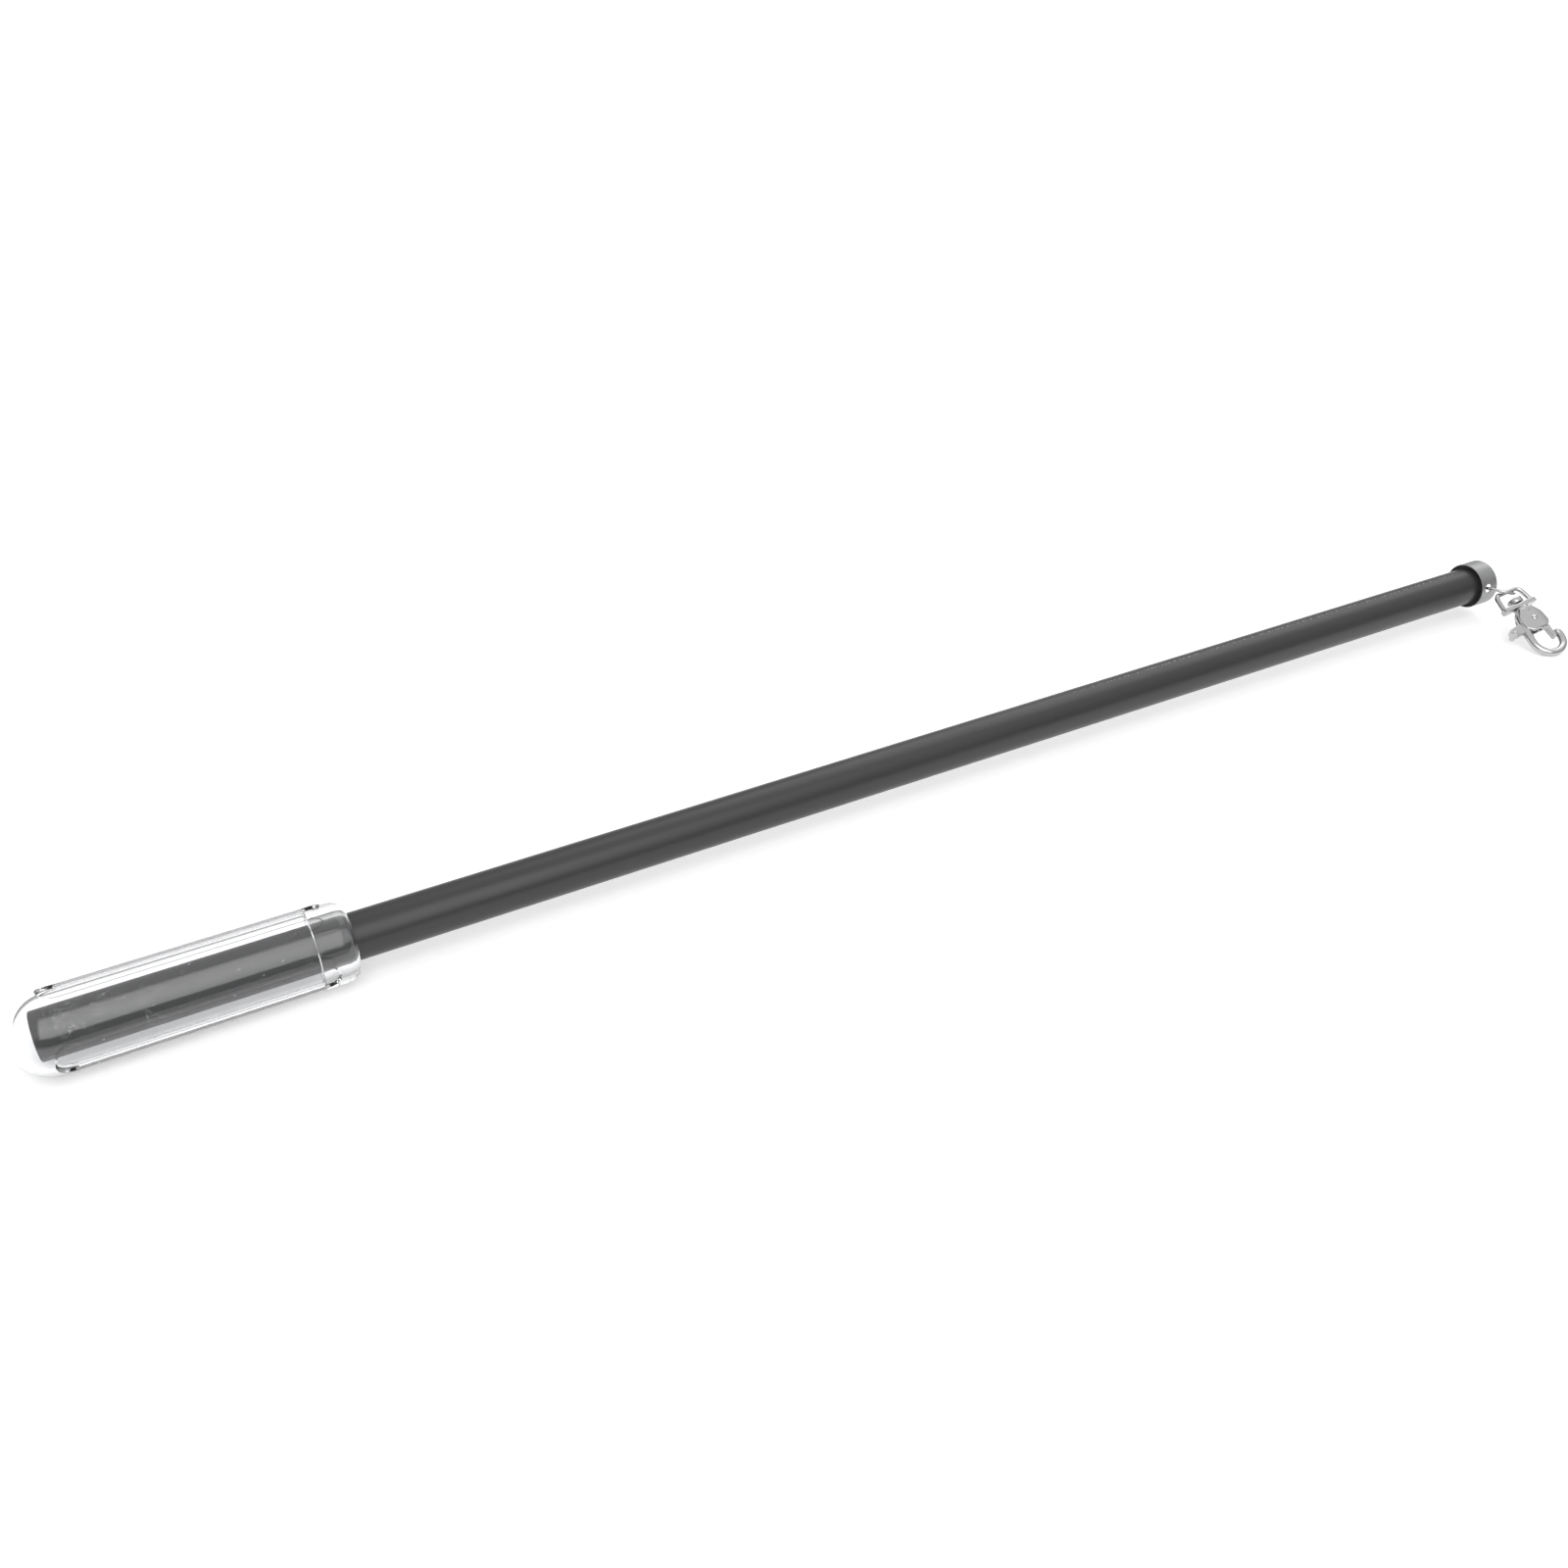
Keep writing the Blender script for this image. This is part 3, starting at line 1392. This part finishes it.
    def build(self, nickel: bpy.types.Material, steel: bpy.types.Material) -> None:
        """Builds and dresses the clasp.

        Args:
            nickel: The plated finish.
            steel: The spring wire's finish.
        """
        finish_piece(self.body(), nickel, Body.HOOK, "clasp", "clasp_body")
        finish_piece(self.trigger(), nickel, Body.TRIGGER, "clasp", "trigger")
        finish_piece(self.pin(), nickel, Body.HOOK, "clasp", "trigger_pin")
        finish_piece(self.spring(), steel, Body.HOOK, "spring", "trigger_spring")


# ---------------------------------------------------------------- studio


@dataclass(frozen=True)
class Lamp:
    """A soft square lamp."""

    name: str
    place: tuple[float, float, float]
    target: tuple[float, float, float]
    size: float
    power: float

    def build(self) -> None:
        """Hangs the lamp and points it at its target."""
        data = bpy.data.lights.new(self.name, "AREA")
        data.shape = "RECTANGLE"
        data.size = self.size
        data.size_y = self.size
        data.energy = self.power
        lamp = bpy.data.objects.new(self.name, data)
        lamp.location = self.place
        aim = Vector(self.target) - Vector(self.place)
        lamp.rotation_euler = aim.to_track_quat("-Z", "Y").to_euler()
        bpy.context.scene.collection.objects.link(lamp)


@dataclass
class Studio:
    """The pale floor, the white surroundings, the lamps and the camera.

    The floor is in millimetres and its slope is a rise per length along X. The camera's place
    is in metres. The room's height is a direction's Z at which its shade ends.
    """

    floor_z: float = -10.7
    floor_slope: float = -0.00113
    floor_size: float = 12.0
    floor_shade: tuple[float, float, float] = (0.93, 0.93, 0.93)
    floor_glow: float = 0.30
    camera_place: tuple[float, float, float] = (-0.41539, -0.28826, 0.23242)
    forward: tuple[float, float, float] = (0.38052, 0.7267, -0.57194)
    upward: tuple[float, float, float] = (0.27433, 0.50192, 0.82026)
    lens: float = 33.75
    world_level: float = 0.75
    room_height: float = 0.75
    room_shade: float = 0.8
    lamps: tuple[Lamp, ...] = (
        Lamp("key_lamp", (-0.45, -0.85, 1.0), (-0.2, 0.0, 0.0), 1.3, 9.0),
        Lamp("fill_lamp", (0.6, 0.6, 1.0), (-0.1, 0.0, 0.0), 1.2, 5.0),
    )

    def camera(self) -> None:
        """Sets the camera at the photograph's viewpoint, unshifted, with its slight roll."""
        data = bpy.data.cameras.new("camera")
        data.sensor_width = 36.0
        data.lens = self.lens
        data.clip_start = 0.01
        camera = bpy.data.objects.new("camera", data)
        camera.location = self.camera_place
        ahead, up = Vector(self.forward).normalized(), Vector(self.upward).normalized()
        axes = Matrix((ahead.cross(up), up, -ahead)).transposed()
        camera.rotation_euler = axes.to_euler()
        bpy.context.scene.collection.objects.link(camera)
        bpy.context.scene.camera = camera

    def floor(self) -> None:
        """Lays the floor: matte white that keeps the shadow and shows white to the camera."""
        h = self.floor_size / 2 / MM
        low, high = self.floor_z + self.floor_slope * h, self.floor_z - self.floor_slope * h
        grid = np.array([[[-h, -h, high], [h, -h, low]], [[-h, h, high], [h, h, low]]])
        floor = Shell().patch(grid, wrap=False).build("floor", 30.0)
        material, n, shader = start_material("floor_white")
        shader.inputs["Base Color"].default_value = opaque(self.floor_shade)
        shader.inputs["Roughness"].default_value = 0.9
        shader.inputs["Specular IOR Level"].default_value = 0.0
        light = n.add("LightPath")
        seen = n.math("MAXIMUM", light.outputs["Is Camera Ray"],
                      n.math("MAXIMUM", light.outputs["Is Glossy Ray"],
                             light.outputs["Is Transmission Ray"]))
        shader.inputs["Emission Color"].default_value = (1.0, 1.0, 1.0, 1.0)
        n.link(n.math("MULTIPLY", seen, self.floor_glow), shader.inputs["Emission Strength"])
        floor.data.materials.append(material)

    def world(self) -> None:
        """Surrounds the wand with white: plain on the object, full where it is seen.

        Metal and glass see the white floor, and over it a room that is greyer near the
        horizon, so that their edges show.
        """
        world = bpy.data.worlds.new("studio")
        bpy.context.scene.world = world
        world.use_nodes = True
        n = Nodes(world.node_tree)
        light = n.add("LightPath")
        through = n.math("MAXIMUM", light.outputs["Is Glossy Ray"],
                         light.outputs["Is Transmission Ray"])
        height = n.axes(n.add("TexCoord").outputs["Generated"])[2]
        low = n.math("MULTIPLY_ADD", height, -1.0 / self.room_height, 1.0, clamp=True)
        room = n.math("MULTIPLY_ADD", low, -self.room_shade, 1.0)
        plain, white = n.add("Background"), n.add("Background")
        plain.inputs["Strength"].default_value = self.world_level
        n.link(n.math("MAXIMUM", room, light.outputs["Is Camera Ray"]), white.inputs["Strength"])
        mixer = n.add("MixShader")
        n.link(n.math("MAXIMUM", through, light.outputs["Is Camera Ray"]), mixer.inputs[0])
        n.link(plain.outputs[0], mixer.inputs[1])
        n.link(white.outputs[0], mixer.inputs[2])
        for background in (plain, white):
            background.inputs["Color"].default_value = (1.0, 1.0, 1.0, 1.0)
        n.link(mixer.outputs[0], n.add("OutputWorld").inputs["Surface"])

    def build(self) -> None:
        """Builds the studio."""
        bpy.context.scene.view_settings.view_transform = "Standard"
        self.camera()
        self.floor()
        self.world()
        for lamp in self.lamps:
            lamp.build()


def corners(box: object) -> list[list[float]]:
    """Gives a box's two corners as plain lists."""
    return [[float(v) for v in corner] for corner in box]


def main() -> None:
    """Builds the studio, the finishes and every piece, in that order."""
    logging.basicConfig(level=logging.INFO, format="%(name)s %(message)s")
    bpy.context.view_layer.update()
    Studio().build()
    groups = Groups(mottle_group(), scratch_group(), speck_group())
    nickel = BrightMetal("bright_nickel", (0.56, 0.56, 0.565), 0.12)
    steel = BrightMetal("spring_steel", (0.58, 0.58, 0.60), 0.28)
    satin = SatinAluminium("satin_aluminium", (0.36, 0.362, 0.365), 0.34)
    packing = BlackRubber("packing_black", (0.012, 0.012, 0.012), 0.75)
    wand = Wand()
    paint = TubePaint("tube_paint", (0.024, 0.024, 0.025), (0.62, 0.62, 0.63), 0.36,
                      end_x=wand.tube_from + 0.1, bare_r=wand.tube_r - 0.3, scuff_angle=92.0,
                      scuff_from=-190.0, scuff_to=-6.0, grip_mouth=wand.mouth_x)
    clear = ClearPlastic("clear_plastic", (0.97, 0.975, 0.985), 0.02, ior=1.49)
    wand.build(paint.make(groups), clear.make(groups))
    Ferrule().build(satin.make(groups), packing.make(groups))
    place = ClaspFrame()
    plated = nickel.make(groups)
    SwivelEye(place).build(plated)
    Clasp(place).build(plated, steel.make(groups))
    bpy.context.view_layer.update()


if __name__ == "__main__":
    main()
